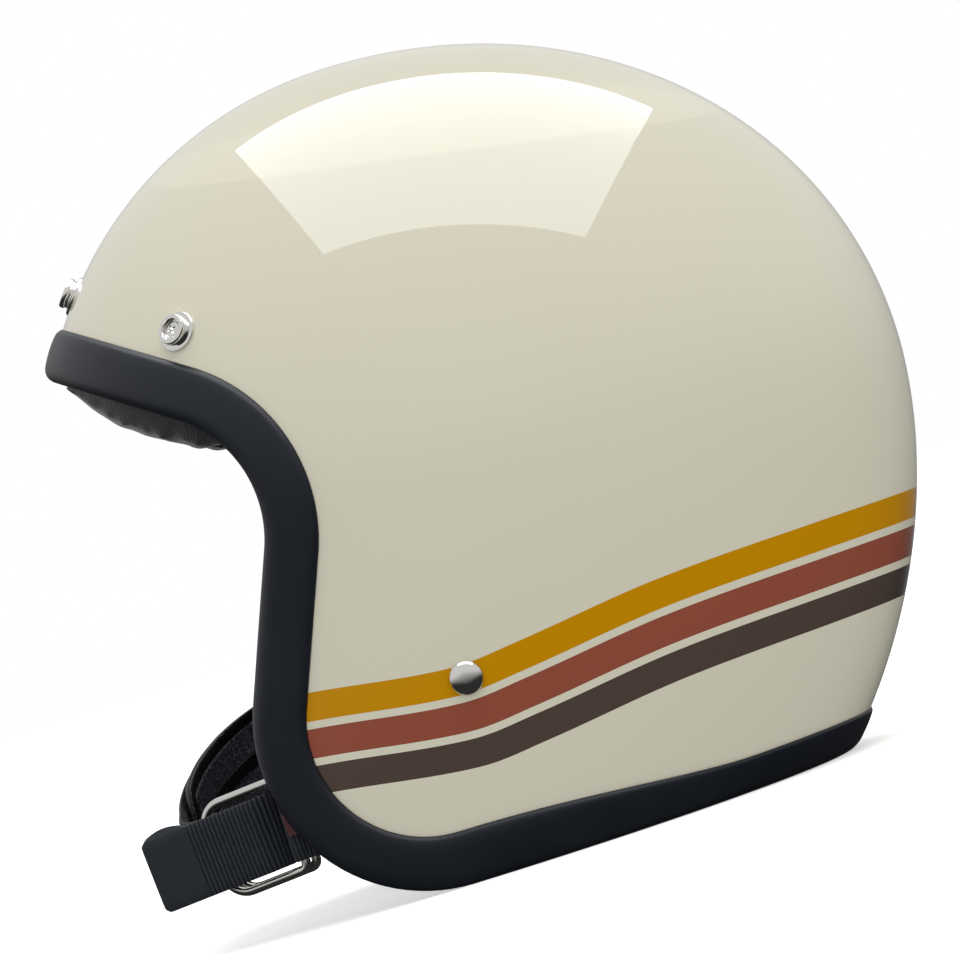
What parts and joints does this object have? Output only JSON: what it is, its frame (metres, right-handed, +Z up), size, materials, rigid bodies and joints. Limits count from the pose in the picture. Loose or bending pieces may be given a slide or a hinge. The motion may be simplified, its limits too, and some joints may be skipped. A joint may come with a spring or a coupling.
{
  "type": "open face motorcycle helmet",
  "caption": "Open face helmet: gloss striped shell with rubber edging, foam and soft lining, snap studs over the brow, riveted webbing chin strap closed by D-rings.",
  "frame": {"origin": "middle of the table under the helmet, which stands on its rim", "axes": "+Z up; the face opening looks along -Y; +X is the wearer's left"},
  "size_m": [0.236, 0.2741, 0.255],
  "materials": {
    "painted_shell": "gloss",
    "edge_rubber": "satin",
    "impact_foam": "matte",
    "liner_fabric": "matte",
    "bright_metal": "polished",
    "plain_steel": "satin",
    "ring_steel": "polished",
    "webbing": "satin",
    "strap_leather": "satin",
    "red_fabric": "matte"
  },
  "bodies": {
    "helmet": {"outer_shell": "painted_shell", "edge_trim": "edge_rubber", "eps_liner": "impact_foam", "comfort_liner": "liner_fabric", "brow_pad": "liner_fabric", "cheek_pad_left": "liner_fabric", "cheek_pad_right": "liner_fabric", "neck_roll": "liner_fabric", "snap_stud_left": "bright_metal", "snap_stud_center": "bright_metal", "snap_stud_right": "bright_metal", "snap_screws": "bright_metal", "snap_tee_nuts": "plain_steel", "rivet_left": "bright_metal", "rivet_right": "bright_metal", "rivet_washers": "plain_steel"},
    "chin_strap": {"hanger_plate_left": "plain_steel", "hanger_plate_right": "plain_steel", "short_strap": "webbing", "long_strap": "webbing", "strap_pad_left": "strap_leather", "strap_pad_right": "strap_leather", "release_tab": "red_fabric"},
    "inner_ring": {"d_ring_inner": "ring_steel"},
    "outer_ring": {"d_ring_outer": "ring_steel"}
  },
  "joints": [
    {"name": "chin_strap_swing", "type": "hinge", "parent": "helmet", "child": "chin_strap", "pos_m": [0, -0.0254, 0.0605], "axis": [1, 0, 0], "range_deg": [-20, 15]},
    {"name": "inner_ring_tilt", "type": "hinge", "parent": "chin_strap", "child": "inner_ring", "pos_m": [0.0715, -0.0873, 0.033], "axis": [0.0336, 0.0725, -0.9968], "range_deg": [0, 3]},
    {"name": "outer_ring_tilt", "type": "hinge", "parent": "chin_strap", "child": "outer_ring", "pos_m": [0.07366, -0.0905, 0.03284], "axis": [0.0336, 0.0725, -0.9968], "range_deg": [-3, 0]}
  ]
}
